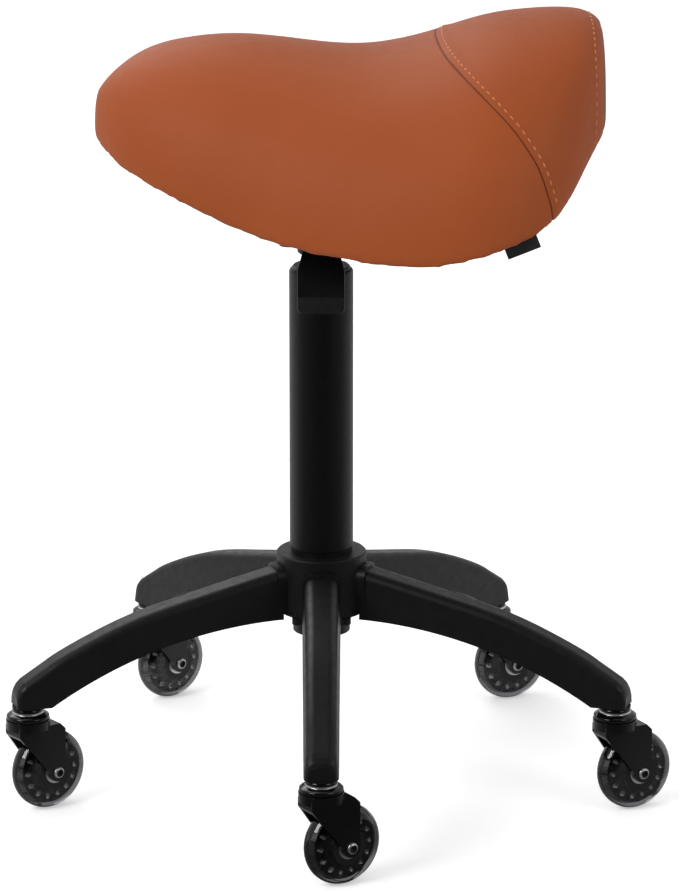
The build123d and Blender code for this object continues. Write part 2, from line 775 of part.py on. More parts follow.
def height_lever():
    """Bent steel strip from over the valve pin out to the paddle, with the pivot's eye beneath."""
    lift = lever_thickness / math.cos(math.radians(lever_slope))
    bend_top = lever_flat_reach + lever_thickness * math.tan(math.radians(lever_slope / 2))
    tip = paddle_break - lever_tip_cover
    side = make_face(Plane.YZ * Polyline(
        (lever_inner_reach, lever_underside), (lever_inner_reach, lever_underside + lever_thickness),
        (-bend_top, lever_underside + lever_thickness), (-tip, lever_height(tip) + lift),
        (-tip, lever_height(tip)), (-lever_flat_reach, lever_underside), close=True))
    strip = extrude(side, lever_width / 2, both=True)
    pivot = Pos(0, -lever_pivot_reach, lever_pivot_height()) * Rot(0, 90, 0)
    eye = pivot * Cylinder(lever_eye_diameter / 2, lever_width)
    bore = pivot * Cylinder(lever_pin_diameter / 2 + running_clearance, 2 * lever_width)
    return strip + eye - bore


def lever_pivot_pin():
    """Pin across the ears that the lever turns on."""
    length = lever_width + 2 * (lever_side_gap + lever_ear_thickness + lever_pin_overhang)
    pin = Rot(0, 90, 0) * Cylinder(lever_pin_diameter / 2, length)
    return Pos(0, -lever_pivot_reach, lever_pivot_height()) * pin


def lever_paddle(lever):
    """Moulded paddle over the strip's outer end, with a steeper lip."""
    slope = math.radians(lever_slope)
    lip = math.radians(paddle_lip_angle)
    lift = (lever_thickness + paddle_skin) / math.cos(slope)
    drop = paddle_skin / math.cos(slope)
    lip_end = paddle_break + paddle_lip_length * math.cos(lip)
    lip_bottom = lever_height(paddle_break) + lift - paddle_lip_length * math.sin(lip)
    thickness = (lever_thickness + 2 * paddle_skin) / math.sin(lip)
    side = make_face(Plane.YZ * Polyline(
        (-paddle_start, lever_height(paddle_start) + lift),
        (-paddle_break, lever_height(paddle_break) + lift), (-lip_end, lip_bottom),
        (thickness - lip_end, lip_bottom),
        (thickness / 2 - paddle_break, lever_height(paddle_break - thickness / 2) - drop),
        (-paddle_start, lever_height(paddle_start) - drop), close=True))
    end = lip_end + paddle_corner_radius
    half = paddle_half_width
    neck = paddle_neck_half_width
    plan = make_face(Polyline(
        (-neck, -paddle_start), (-half, -paddle_shoulder), (-half, -end), (half, -end),
        (half, -paddle_shoulder), (neck, -paddle_start), close=True))
    low = lip_bottom - cut_margin
    body = extrude(side, half, both=True) & Pos(0, 0, low) * extrude(plan, seat_height - low)
    lip_corners = body.faces().sort_by(Axis.Z)[0].edges().filter_by(Axis.Y)
    return fillet(lip_corners, paddle_corner_radius) - lever


# Seat board, foam and cover
def board_path():
    """Line of the board's underside from the rear to the nose, in the stool's middle plane."""
    points = [(board_rear_end, 0, seat_height + board_rear_rise), (board_rear_bend, 0, seat_height),
              (board_front_bend, 0, seat_height), (board_front_end, 0, seat_height + board_front_rise)]
    return FilletPolyline(*points, radius=[board_rear_fillet, board_front_fillet])


def board_side(offset):
    """Middle and end points of the board's curved side, at a height above the board's underside."""
    angle = math.asin((board_half_span - board_flat_half) / board_side_radius)
    radius = board_side_radius + offset
    return [(board_flat_half + radius * math.sin(turn), offset - radius * (1 - math.cos(turn)))
            for turn in (angle / 2, angle)]


def board_band(bottom, top):
    """Solid band along the board's line: flat across the middle, curved down at both sides."""
    path = board_path()
    top_half, top_end = board_side(top)
    low_half, low_end = board_side(bottom)
    outline = [
        Line((-board_flat_half, top), (board_flat_half, top)),
        ThreePointArc((board_flat_half, top), top_half, top_end),
        Line(top_end, low_end),
        ThreePointArc(low_end, low_half, (board_flat_half, bottom)),
        Line((board_flat_half, bottom), (-board_flat_half, bottom)),
        ThreePointArc((-board_flat_half, bottom), (-low_half[0], low_half[1]), (-low_end[0], low_end[1])),
        Line((-low_end[0], low_end[1]), (-top_end[0], top_end[1])),
        ThreePointArc((-top_end[0], top_end[1]), (-top_half[0], top_half[1]), (-board_flat_half, top)),
    ]
    start = path.position_at(0)
    ahead = path.tangent_at(0)
    section = Plane(origin=start, x_dir=(0, -1, 0), z_dir=ahead) * make_face(outline)
    return sweep(section, path)


def seat_plan(inset):
    """Plan of the seat's lower edge drawn in by an inset, with an arc at the nose and one at the rear."""
    far = [(x, half - inset) for x, half, bottom, top in seat_stations[2:-3]]
    near = [(x, -half) for x, half in far]
    nose = (seat_stations[0][0] + inset, 0)
    rear = (board_plan_rear - inset, 0)
    return make_face([Spline(*near), ThreePointArc(near[-1], rear, far[-1]), Spline(*far),
                      ThreePointArc(near[0], nose, far[0])])


def board_solid(bottom, top, inset):
    """Part of the board's band inside the seat's plan."""
    tall = seat_height + board_front_rise + board_rear_rise + 2 * board_thickness
    return board_band(bottom, top) & extrude(seat_plan(inset), tall)


def seat_section(x, half, bottom, top):
    """Cross-section of the seat: flat below, drawn-in sides and a round crown."""
    shoulder = shoulder_share * half
    drop = shoulder_drop_share * (top - bottom)
    slope = 2 * math.atan2(drop, shoulder)
    right = TangentArc((shoulder, top - drop), (half, bottom), tangent=(math.cos(slope), -math.sin(slope)))
    left = TangentArc((-shoulder, top - drop), (-half, bottom), tangent=(-math.cos(slope), -math.sin(slope)))
    crown = ThreePointArc((-shoulder, top - drop), (0, top), (shoulder, top - drop))
    base = Line((-half, bottom), (half, bottom))
    face = make_face([base, right, crown, left])
    return Plane(origin=(x, 0, seat_height), x_dir=(0, 1, 0), z_dir=(1, 0, 0)) * face


def seat_body(inset):
    """Whole seat form drawn in by an inset all round."""
    sections = []
    last = len(seat_stations) - 1
    for index, (x, half, bottom, top) in enumerate(seat_stations):
        shift = inset if index == 0 else -inset if index == last else 0
        sections.append(seat_section(x + shift, half - inset, bottom + inset, top - inset))
    return loft(sections)


def seat_recess():
    """Room that the board takes out of the seat from below."""
    top = board_thickness + seating_clearance
    return board_solid(-3 * board_thickness, top, board_inset - seating_clearance)


def seat_board():
    """Moulded board with bolt holes and counterbores for the tee nuts."""
    body = board_solid(0, board_thickness, board_inset)
    top = seat_height + board_thickness
    for x, y in bolt_places():
        body -= Pos(x, y, 0) * rod_along_z(tee_nut_barrel_diameter / 2 + running_clearance, seat_height, top)
        body -= Pos(x, y, 0) * rod_along_z(tee_nut_flange_diameter / 2 + seating_clearance,
                                           top - tee_nut_flange_thickness, top)
    return body


def under_cover():
    """Cloth under the board, open round the seat plate."""
    bottom = -under_cover_thickness - seating_clearance
    body = board_solid(bottom, -seating_clearance, board_inset + moving_gap)
    opening = Box(plate_length + 2 * under_cover_gap, plate_width + 2 * under_cover_gap, 4 * board_thickness)
    return body - Pos(0, 0, seat_height) * opening


def seat_bolts():
    """Screws through the seat plate into the tee nuts."""
    head_top = seat_height - plate_thickness
    head_bottom = head_top - seat_bolt_head_height
    bolt = rod_along_z(seat_bolt_head_diameter / 2, head_bottom, head_top)
    bolt_end = seat_height + board_thickness - tee_nut_flange_thickness
    bolt += rod_along_z(seat_bolt_diameter / 2, head_top, bolt_end)
    socket = hex_socket(seat_bolt_socket_width, seat_bolt_head_height / 2)
    bolt -= Pos(0, 0, head_bottom) * Rot(180, 0, 0) * socket
    return Compound(children=[Pos(x, y, 0) * bolt for x, y in bolt_places()])


def tee_nuts():
    """Tee nuts let into the top of the board."""
    top = seat_height + board_thickness
    flange_bottom = top - tee_nut_flange_thickness
    bore = seat_bolt_diameter / 2 + running_clearance
    barrel = tee_nut_barrel_diameter / 2
    nut = turned((bore, seat_height + seating_clearance), (barrel, seat_height + seating_clearance),
                 (barrel, flange_bottom), (tee_nut_flange_diameter / 2, flange_bottom),
                 (tee_nut_flange_diameter / 2, top), (bore, top))
    return Compound(children=[Pos(x, y, 0) * nut for x, y in bolt_places()])


def seat_edge(place):
    """Half width and height of the seat's lower edge at a place along X, and the edge's slope there."""
    for (x1, half1, low1, top1), (x2, half2, low2, top2) in zip(seat_stations, seat_stations[1:]):
        if x1 <= place <= x2:
            share = (place - x1) / (x2 - x1)
            half = half1 + (half2 - half1) * share
            low = low1 + (low2 - low1) * share
            return half, seat_height + low, math.degrees(math.atan2(low2 - low1, x2 - x1))


def side_tab():
    """Plain sewn tab under the lower edge near the rear corner."""
    half, low, slope = seat_edge(tab_place)
    tab = Pos(0, 0, -tab_height / 2) * Box(tab_length, tab_thickness, tab_height)
    return Pos(tab_place, tab_inset - half, low - tab_gap) * Rot(0, -slope, 0) * tab


def main():
    """Write every piece to parts/."""
    os.makedirs("parts", exist_ok=True)

    write("base_hub", base_hub())
    write("hub_clamp_ring", clamp_ring())
    write("hub_bolts", hub_bolts())
    arm = arm_along_x()
    for index, angle in enumerate(arm_angles):
        write(f"base_arm_{index + 1}", Rot(0, 0, angle) * arm)

    core = wheel_core()
    caster_pieces = {
        "fork": caster_fork(),
        "axle": caster_axle(),
        "core": at_axle(core),
        "tyre": at_axle(wheel_tyre(core)),
        "bearings": at_axle(wheel_bearings()),
    }
    places = [Rot(0, 0, angle) * Pos(caster_circle_radius, 0, 0) * Rot(0, 0, heading - angle)
              for angle, heading in zip(arm_angles, caster_headings)]
    for index, place in enumerate(places):
        for piece, shape in caster_pieces.items():
            write(f"caster_{piece}_{index + 1}", place * shape)
    stem = caster_stem()
    write("caster_stems", Compound(children=[place * stem for place in places]))
    ring_shape = grip_ring()
    write("stem_grip_rings", Compound(children=[place * ring_shape for place in places]))

    write("column_tube", column_tube())
    write("column_guide_bush", guide_bush())
    write("bearing_lower_race", race_washer(lower_race_bottom, rod_tail_diameter / 2 + moving_gap))
    write("thrust_ball_cage", thrust_ball_cage())
    write("bearing_upper_race", race_washer(upper_race_bottom, rod_tail_diameter / 2 + running_clearance))
    write("clip_washer", clip_washer())
    write("retaining_clip", retaining_clip())
    write("piston_rod", piston_rod())
    write("piston", piston())
    write("bump_stop", bump_stop())
    write("gas_cylinder", gas_cylinder())
    write("cylinder_gland", cylinder_gland())
    write("valve_pin", valve_pin())

    write("seat_plate", seat_plate())
    write("taper_socket", taper_socket())
    lever = height_lever()
    write("height_lever", lever)
    write("lever_paddle", lever_paddle(lever))
    write("lever_pivot_pin", lever_pivot_pin())
    write("seat_board", seat_board())
    write("under_cover", under_cover())
    write("seat_bolts", seat_bolts())
    write("seat_tee_nuts", tee_nuts())
    recess = seat_recess()
    foam = seat_body(cover_thickness)
    write("seat_foam", foam - recess)
    write("seat_cover", seat_body(0) - foam - recess)
    write("side_tab", side_tab())


if __name__ == "__main__":
    main()
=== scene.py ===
"""Looks of the saddle stool: finishes, upholstery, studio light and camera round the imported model."""
from __future__ import annotations

import json
import logging
import math
from collections.abc import Iterable
from dataclasses import dataclass, field
from enum import Enum

import bmesh
import bpy
import numpy as np
from mathutils import Euler, Matrix, Vector, noise

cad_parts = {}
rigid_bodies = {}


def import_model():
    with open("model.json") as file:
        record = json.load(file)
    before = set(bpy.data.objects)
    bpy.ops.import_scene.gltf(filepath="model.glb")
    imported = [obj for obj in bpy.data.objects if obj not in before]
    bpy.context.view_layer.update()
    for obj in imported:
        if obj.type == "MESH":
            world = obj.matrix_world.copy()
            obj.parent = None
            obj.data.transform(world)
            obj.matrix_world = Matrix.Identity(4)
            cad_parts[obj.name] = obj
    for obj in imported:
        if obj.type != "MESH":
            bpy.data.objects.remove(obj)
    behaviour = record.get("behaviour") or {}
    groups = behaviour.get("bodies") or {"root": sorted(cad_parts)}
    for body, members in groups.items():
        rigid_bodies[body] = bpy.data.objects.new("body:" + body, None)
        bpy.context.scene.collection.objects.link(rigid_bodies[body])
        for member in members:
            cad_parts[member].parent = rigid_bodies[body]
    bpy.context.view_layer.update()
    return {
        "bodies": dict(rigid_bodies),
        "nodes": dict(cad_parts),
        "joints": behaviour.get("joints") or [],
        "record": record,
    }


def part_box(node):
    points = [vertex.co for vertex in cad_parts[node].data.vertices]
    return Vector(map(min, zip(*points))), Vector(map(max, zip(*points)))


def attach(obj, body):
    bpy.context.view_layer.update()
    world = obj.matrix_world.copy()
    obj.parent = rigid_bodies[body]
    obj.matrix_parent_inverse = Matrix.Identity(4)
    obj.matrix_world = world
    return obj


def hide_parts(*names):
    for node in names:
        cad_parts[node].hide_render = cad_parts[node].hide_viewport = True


log = logging.getLogger("stool")

MM = 0.001
WELD = 0.001 * MM
FLAT_ANGLE = math.radians(0.3)
SHARP_ANGLE = math.radians(35)
CASTERS = range(1, 6)
# Name of the value on the cushion's points that sets how much painted shade the seam grooves get.
SEAM_SHADE_VALUE = "seam"
SMOKE_COLOUR = "505054"
WHITE = "FFFFFF"
# Numbers of a Mix node's two inputs and its output for each type of data.
MIX_SOCKETS = {"FLOAT": (2, 3, 0), "RGBA": (6, 7, 2)}
# Detail of the colour's drift and of the fine relief, as octaves of noise.
DRIFT_DETAIL = 3.0
RELIEF_DETAIL = 2.0
# A noise texture's values lie mostly between these, and its gloss patches are this many grains wide.
NOISE_REACH = (0.3, 0.7)
PATCH_GRAINS = 8
# Leather cells are shaken by noise of this share of their scale, and rise over this share of their width.
CELL_SHAKE = 0.4
CELL_EDGE = 0.3
# A smoothing round moves points towards their neighbours and then a little further back.
SMOOTH_FACTOR = 0.5
BACK_FACTOR = -0.53
BEVEL_STEPS = 2
# Points of a seam whose normal is lower than this are on the underside, where no stitches show.
UNDERSIDE = -0.55


def linear(hex_colour: str) -> tuple[float, float, float, float]:
    """Turn an sRGB hex colour into linear RGBA by the standard curve.

    Args:
        hex_colour: colour such as "9A502C".
    Returns:
        Linear red, green, blue and an alpha of one.
    """
    shares = [int(hex_colour[place:place + 2], 16) / 255 for place in (0, 2, 4)]
    low = [share / 12.92 for share in shares]
    high = [((share + 0.055) / 1.055) ** 2.4 for share in shares]
    red, green, blue = [a if share <= 0.04045 else b for share, a, b in zip(shares, low, high)]
    return red, green, blue, 1.0


def add_node(tree: bpy.types.NodeTree, kind: str, options: dict | None = None,
             inputs: dict | None = None) -> bpy.types.Node:
    """Add a shader node, set its options and fill its inputs.

    Args:
        tree: node tree that gets the node.
        kind: type name without its ShaderNode prefix.
        options: node properties by name.
        inputs: a socket to link, or a plain value, by input name or number.
    Returns:
        The new node.
    """
    node = tree.nodes.new("ShaderNode" + kind)
    for name, value in (options or {}).items():
        setattr(node, name, value)
    for name, value in (inputs or {}).items():
        if isinstance(value, bpy.types.NodeSocket):
            tree.links.new(value, node.inputs[name])
        else:
            node.inputs[name].default_value = value
    return node


def map_range(tree: bpy.types.NodeTree, value: bpy.types.NodeSocket, reach: tuple[float, float],
              target: tuple[float, float], easing: str = "LINEAR") -> bpy.types.NodeSocket:
    """Map a value from one range to another, held at the ends.

    Args:
        tree: node tree that gets the node.
        value: socket with the value.
        reach: lowest and highest value.
        target: what those two become.
        easing: the map's form between them.
    Returns:
        The socket with the mapped value.
    """
    return add_node(tree, "MapRange", {"interpolation_type": easing},
                    {"Value": value, "From Min": reach[0], "From Max": reach[1],
                     "To Min": target[0], "To Max": target[1]}).outputs[0]


def multiplied(tree: bpy.types.NodeTree, first: bpy.types.NodeSocket,
               second: bpy.types.NodeSocket) -> bpy.types.NodeSocket:
    """Add a node that multiplies two values, and give its output."""
    return add_node(tree, "Math", {"operation": "MULTIPLY"}, {0: first, 1: second}).outputs[0]


def mixed(tree: bpy.types.NodeTree, kind: str, share: bpy.types.NodeSocket, first: object,
          second: object) -> bpy.types.NodeSocket:
    """Blend two values or colours.

    Args:
        tree: node tree that gets the node.
        kind: FLOAT for values and RGBA for colours.
        share: socket with the second one's share.
        first: a socket, or a plain value or colour.
        second: the same.
    Returns:
        The socket with the blend.
    """
    low, high, out = MIX_SOCKETS[kind]
    return add_node(tree, "Mix", {"data_type": kind}, {0: share, low: first, high: second}).outputs[out]


class Grain(Enum):
    """Pattern of a finish's fine relief."""

    PEEL = "orange peel of sprayed or moulded skins"
    PEBBLE = "cells of embossed leather cloth"
    TURNED = "fine rings left by turning"
    FIBRE = "crossed fibres of cloth"
    LAYERS = "veneers of plywood"


# How much of its scale each pattern of noise has along X, Y and Z.
STRETCH = {
    Grain.PEEL: (1.0, 1.0, 1.0),
    Grain.TURNED: (0.05, 0.05, 1.0),
    Grain.FIBRE: (1.0, 0.12, 1.0),
    Grain.LAYERS: (0.04, 0.04, 1.0),
}
CROSSED_FIBRE = (0.12, 1.0, 1.0)


@dataclass(frozen=True)
class Finish:
    """A surface with a drifting colour, an uneven gloss and a fine relief, with sizes in millimetres."""

    name: str
    colour: str
    tint: str
    drift: float
    roughness: float
    unevenness: float
    grain: Grain
    grain_size: float
    relief: float
    metallic: float = 0.0
    specular: float = 0.5
    transmission: float = 0.0
    sheen: float = 0.0
    absorption: float = 0.0

    def material(self) -> bpy.types.Material:
        """Build the node material of this finish.

        Returns:
            The new material.
        """
        material = bpy.data.materials.new(self.name)
        material.use_nodes = True
        tree = material.node_tree
        shader = tree.nodes["Principled BSDF"]
        place = add_node(tree, "TexCoord").outputs["Object"]
        drift = add_node(tree, "TexNoise", None,
                         {"Vector": place, "Scale": 1 / (self.drift * MM), "Detail": DRIFT_DETAIL})
        colour = mixed(tree, "RGBA", drift.outputs[0], linear(self.colour), linear(self.tint))
        patches = add_node(tree, "TexNoise", None,
                           {"Vector": place, "Scale": 1 / (PATCH_GRAINS * self.grain_size * MM)})
        gloss = map_range(tree, patches.outputs[0], NOISE_REACH,
                          (self.roughness - self.unevenness, self.roughness + self.unevenness))
        bump = add_node(tree, "Bump", None,
                        {"Height": self.height(tree, place), "Distance": self.relief * MM})
        # Finishes with seams get painted shade in their grooves here.
        tree.links.new(self.with_seam_shade(tree, colour), shader.inputs["Base Color"])
        tree.links.new(gloss, shader.inputs["Roughness"])
        tree.links.new(bump.outputs[0], shader.inputs["Normal"])
        shader.inputs["Metallic"].default_value = self.metallic
        shader.inputs["Specular IOR Level"].default_value = self.specular
        shader.inputs["Transmission Weight"].default_value = self.transmission
        shader.inputs["Sheen Weight"].default_value = self.sheen
        if self.absorption:
            smoke = add_node(tree, "VolumeAbsorption", None,
                             {"Color": linear(SMOKE_COLOUR), "Density": self.absorption})
            tree.links.new(smoke.outputs[0], tree.nodes["Material Output"].inputs["Volume"])
        return material

    def height(self, tree: bpy.types.NodeTree, place: bpy.types.NodeSocket) -> bpy.types.NodeSocket:
        """Lay out the relief's pattern.

        Args:
            tree: the material's nodes.
            place: the point on the surface.
        Returns:
            The socket that carries the relief's height.
        """
        scale = 1 / (self.grain_size * MM)
        if self.grain is Grain.PEBBLE:
            shake = add_node(tree, "TexNoise", None, {"Vector": place, "Scale": CELL_SHAKE * scale})
            moved = add_node(tree, "VectorMath", {"operation": "MULTIPLY_ADD"},
                             {0: shake.outputs["Color"], 1: [self.grain_size * MM] * 3, 2: place})
            cells = add_node(tree, "TexVoronoi", {"feature": "DISTANCE_TO_EDGE"},
                             {"Vector": moved.outputs[0], "Scale": scale})
            return map_range(tree, cells.outputs[0], (0.0, CELL_EDGE), (0.0, 1.0), "SMOOTHSTEP")
        lines = self.stretched_noise(tree, place, STRETCH[self.grain])
        if self.grain is not Grain.FIBRE:
            return lines
        crossed = self.stretched_noise(tree, place, CROSSED_FIBRE)
        return add_node(tree, "Math", {"operation": "MAXIMUM"}, {0: lines, 1: crossed}).outputs[0]

    def stretched_noise(self, tree: bpy.types.NodeTree, place: bpy.types.NodeSocket,
                        stretch: tuple[float, float, float]) -> bpy.types.NodeSocket:
        """Lay out noise of the grain's size.

        Args:
            tree: the material's nodes.
            place: the point on the surface.
            stretch: share of the scale along each axis.
        Returns:
            The socket that carries the noise.
        """
        scale = 1 / (self.grain_size * MM)
        laid = add_node(tree, "Mapping", None,
                        {"Vector": place, "Scale": [scale * share for share in stretch]})
        return add_node(tree, "TexNoise", None,
                        {"Vector": laid.outputs[0], "Scale": 1.0, "Detail": RELIEF_DETAIL}).outputs[0]

    def with_seam_shade(self, tree: bpy.types.NodeTree, colour: bpy.types.NodeSocket) -> bpy.types.NodeSocket:
        """Leave the colour as it is: a plain finish has no painted seam shade."""
        return colour


@dataclass(frozen=True)
class SewnLeather(Finish):
    """Leather cloth with painted shade in its seam grooves."""

    # Colour of the painted shade in the seam grooves.
    seam_shade_colour: str = "4A1E0C"

    def with_seam_shade(self, tree: bpy.types.NodeTree, colour: bpy.types.NodeSocket) -> bpy.types.NodeSocket:
        """Paint shade into the colour along the grooves, where the mesh's seam value is high."""
        seam = add_node(tree, "Attribute", {"attribute_name": SEAM_SHADE_VALUE}).outputs["Fac"]
        return mixed(tree, "RGBA", seam, colour, linear(self.seam_shade_colour))


# Powder coat on the cast star base: deep black, satin, with a faint orange peel.
BASE_COAT = Finish("base_coat", "0D0D0E", "131314", 60, 0.44, 0.06, Grain.PEEL, 0.8, 0.02, specular=0.24)
# Baked enamel on the column's drawn tube: smoother than the castings, so its bands of light are clean.
COLUMN_COAT = Finish("column_coat", "070708", "0A0A0B", 80, 0.4, 0.04, Grain.TURNED, 0.6, 0.006,
                     specular=0.26)
# Thin matt paint on the pressed plate, lever strip and screws.
PRESS_COAT = Finish("press_coat", "0A0A0A", "121212", 30, 0.5, 0.08, Grain.PEEL, 0.7, 0.02, specular=0.3)
# Glossy electrocoat on the caster forks and dishes, which shows crisp lights.
CASTER_COAT = Finish("caster_coat", "050506", "080809", 20, 0.13, 0.04, Grain.PEEL, 0.9, 0.008,
                     specular=0.4)
# Bright plated steel of the axles, bearings, rings and the gas spring's parts.
BRIGHT_STEEL = Finish("bright_steel", "D2D3D5", "BEC0C3", 12, 0.36, 0.06, Grain.TURNED, 0.5, 0.004,
                      metallic=1.0)
# Painted shade on the middle of the axles' ends, where their sockets are.
SOCKET_SHADE = Finish("painted_socket_shade", "0A0A0A", "141414", 4, 0.5, 0.08, Grain.TURNED, 0.4, 0.01,
                       specular=0.2)
# Moulded nylon of the paddle, cores and bushes: fine spark texture, half matt.
BLACK_NYLON = Finish("black_nylon", "0C0C0D", "141415", 15, 0.42, 0.08, Grain.PEEL, 0.5, 0.02,
                     specular=0.35)
# Cast polyurethane tyre: smoky, clear enough to show the core's flange, and polished.
SMOKE_TYRE = Finish("smoke_tyre", "A6A6AA", "9A9A9E", 25, 0.04, 0.015, Grain.PEEL, 3.0, 0.008,
                    transmission=1.0, absorption=52.0)
# Black rubber of the bump stop.
RUBBER = Finish("rubber", "141414", "1C1C1C", 10, 0.7, 0.08, Grain.PEEL, 0.5, 0.03)
# Birch plywood of the seat's board.
PLYWOOD = Finish("plywood", "B98E5E", "94683C", 45, 0.6, 0.08, Grain.LAYERS, 1.4, 0.08)
# Black spun cloth under the seat.
UNDER_CLOTH = Finish("under_cloth", "151515", "1F1F1F", 18, 0.85, 0.05, Grain.FIBRE, 0.5, 0.12, sheen=0.1)
# Black woven tape of the side tab.
TAPE = Finish("tape", "111112", "1B1B1C", 6, 0.7, 0.06, Grain.FIBRE, 0.6, 0.15, sheen=0.2)
# Pale foam inside the cover.
FOAM = Finish("foam", "D8CBA0", "CFC092", 20, 0.9, 0.04, Grain.PEEL, 1.2, 0.3)
# Tan leather cloth: smooth, half matt, with a fine embossed grain and a pale bloom at grazing angles.
TAN_LEATHER = SewnLeather("tan_leather", "9C4C22", "93461F", 70, 0.56, 0.04, Grain.PEBBLE, 0.9, 0.03,
                          specular=0.16, sheen=0.03)
# Twisted polyester sewing thread, lighter and more orange than the leather cloth.
THREAD = Finish("thread", "C67A48", "B86C3C", 4, 0.55, 0.05, Grain.FIBRE, 0.25, 0.06, sheen=0.1)

SLOT_FINISHES = {
    "black_base": BASE_COAT, "black_column": COLUMN_COAT, "black_press": PRESS_COAT,
    "black_caster": CASTER_COAT, "bright_steel": BRIGHT_STEEL, "black_plastic": BLACK_NYLON,
    "smoke_tyre": SMOKE_TYRE, "rubber": RUBBER, "plywood": PLYWOOD, "black_cloth": UNDER_CLOTH,
    "foam": FOAM, "tan_cover": TAN_LEATHER,
}


class Finisher:
    """Makes each finish's material once and gives it to pieces."""

    def __init__(self) -> None:
        """Start with no materials."""
        self.made: dict[str, bpy.types.Material] = {}

    def paint(self, piece: bpy.types.Object, *finishes: Finish) -> None:
        """Give a piece its finishes.

        Args:
            piece: object to paint.
            finishes: its surfaces, in the order of its faces' material numbers.
        """
        if piece.data.materials:
            piece.data.materials.clear()
        for finish in finishes:
            if finish.name not in self.made:
                self.made[finish.name] = finish.material()
            piece.data.materials.append(self.made[finish.name])
        log.info("%s is finished in %s", piece.name, " and ".join(finish.name for finish in finishes))


def new_piece(name: str, work: bmesh.types.BMesh, smooth_angle: float = SHARP_ANGLE) -> bpy.types.Object:
    """Turn a finished bmesh into a shaded object at the origin.

    Args:
        name: the piece's name.
        work: its mesh, which is freed.
        smooth_angle: edges sharper than this stay sharp.
    Returns:
        The new object.
    """
    mesh = bpy.data.meshes.new(name)
    work.to_mesh(mesh)
    work.free()
    mesh.shade_smooth()
    mesh.set_sharp_from_angle(angle=smooth_angle)
    piece = bpy.data.objects.new(name, mesh)
    bpy.context.scene.collection.objects.link(piece)
    log.info("%s has %d faces", name, len(mesh.polygons))
    return piece


def welded(*nodes: bpy.types.Object) -> bmesh.types.BMesh:
    """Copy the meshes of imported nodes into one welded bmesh.

    Args:
        nodes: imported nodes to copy.
    Returns:
        The new mesh.
    """
    work = bmesh.new()
    for node in nodes:
        work.from_mesh(node.data)
    bmesh.ops.remove_doubles(work, verts=work.verts, dist=WELD)
    bmesh.ops.recalc_face_normals(work, faces=work.faces)
    return work


def rounded_copy(node: bpy.types.Object, name: str, width: float) -> bpy.types.Object:
    """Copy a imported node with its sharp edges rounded.

    Args:
        node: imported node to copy.
        name: the new piece's name.
        width: width of the rounding in millimetres.
    Returns:
        The new object.
    """
    piece = new_piece(name, rounded(node, width))
    weighted = piece.modifiers.new("even shading", "WEIGHTED_NORMAL")
    weighted.keep_sharp = True
    return piece


def rounded(node: bpy.types.Object, width: float) -> bmesh.types.BMesh:
    """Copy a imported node's mesh and round its sharp edges.

    Args:
        node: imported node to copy.
        width: width of the rounding in millimetres.
    Returns:
        The new mesh.
    """
    work = welded(node)
    bmesh.ops.dissolve_limit(work, angle_limit=FLAT_ANGLE, verts=work.verts, edges=work.edges)
    sharp = [edge for edge in work.edges if edge.is_manifold and edge.calc_face_angle() > SHARP_ANGLE]
    bmesh.ops.bevel(work, geom=sharp, offset=width * MM, offset_type="OFFSET", segments=BEVEL_STEPS,
                    profile=0.5, affect="EDGES", clamp_overlap=True, material=-1)
    return work


@dataclass
class Model:
    """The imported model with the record's slots and joints."""

    nodes: dict[str, bpy.types.Object]
    slots: dict[str, str]
    joints: dict[str, dict]
    finisher: Finisher

    def stand_in(self, piece: bpy.types.Object, body: str, nodes: list[str], *finishes: Finish) -> None:
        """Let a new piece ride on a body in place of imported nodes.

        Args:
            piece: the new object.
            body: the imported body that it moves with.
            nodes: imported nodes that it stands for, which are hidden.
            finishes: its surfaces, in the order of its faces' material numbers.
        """
        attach(piece, body)
        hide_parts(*nodes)
        self.finisher.paint(piece, *finishes)


@dataclass
class CarriedParts:
    """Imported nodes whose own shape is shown."""

    model: Model

    def dress(self) -> None:
        """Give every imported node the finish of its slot."""
        for name, node in self.model.nodes.items():
            self.model.finisher.paint(node, SLOT_FINISHES[self.model.slots[name]])


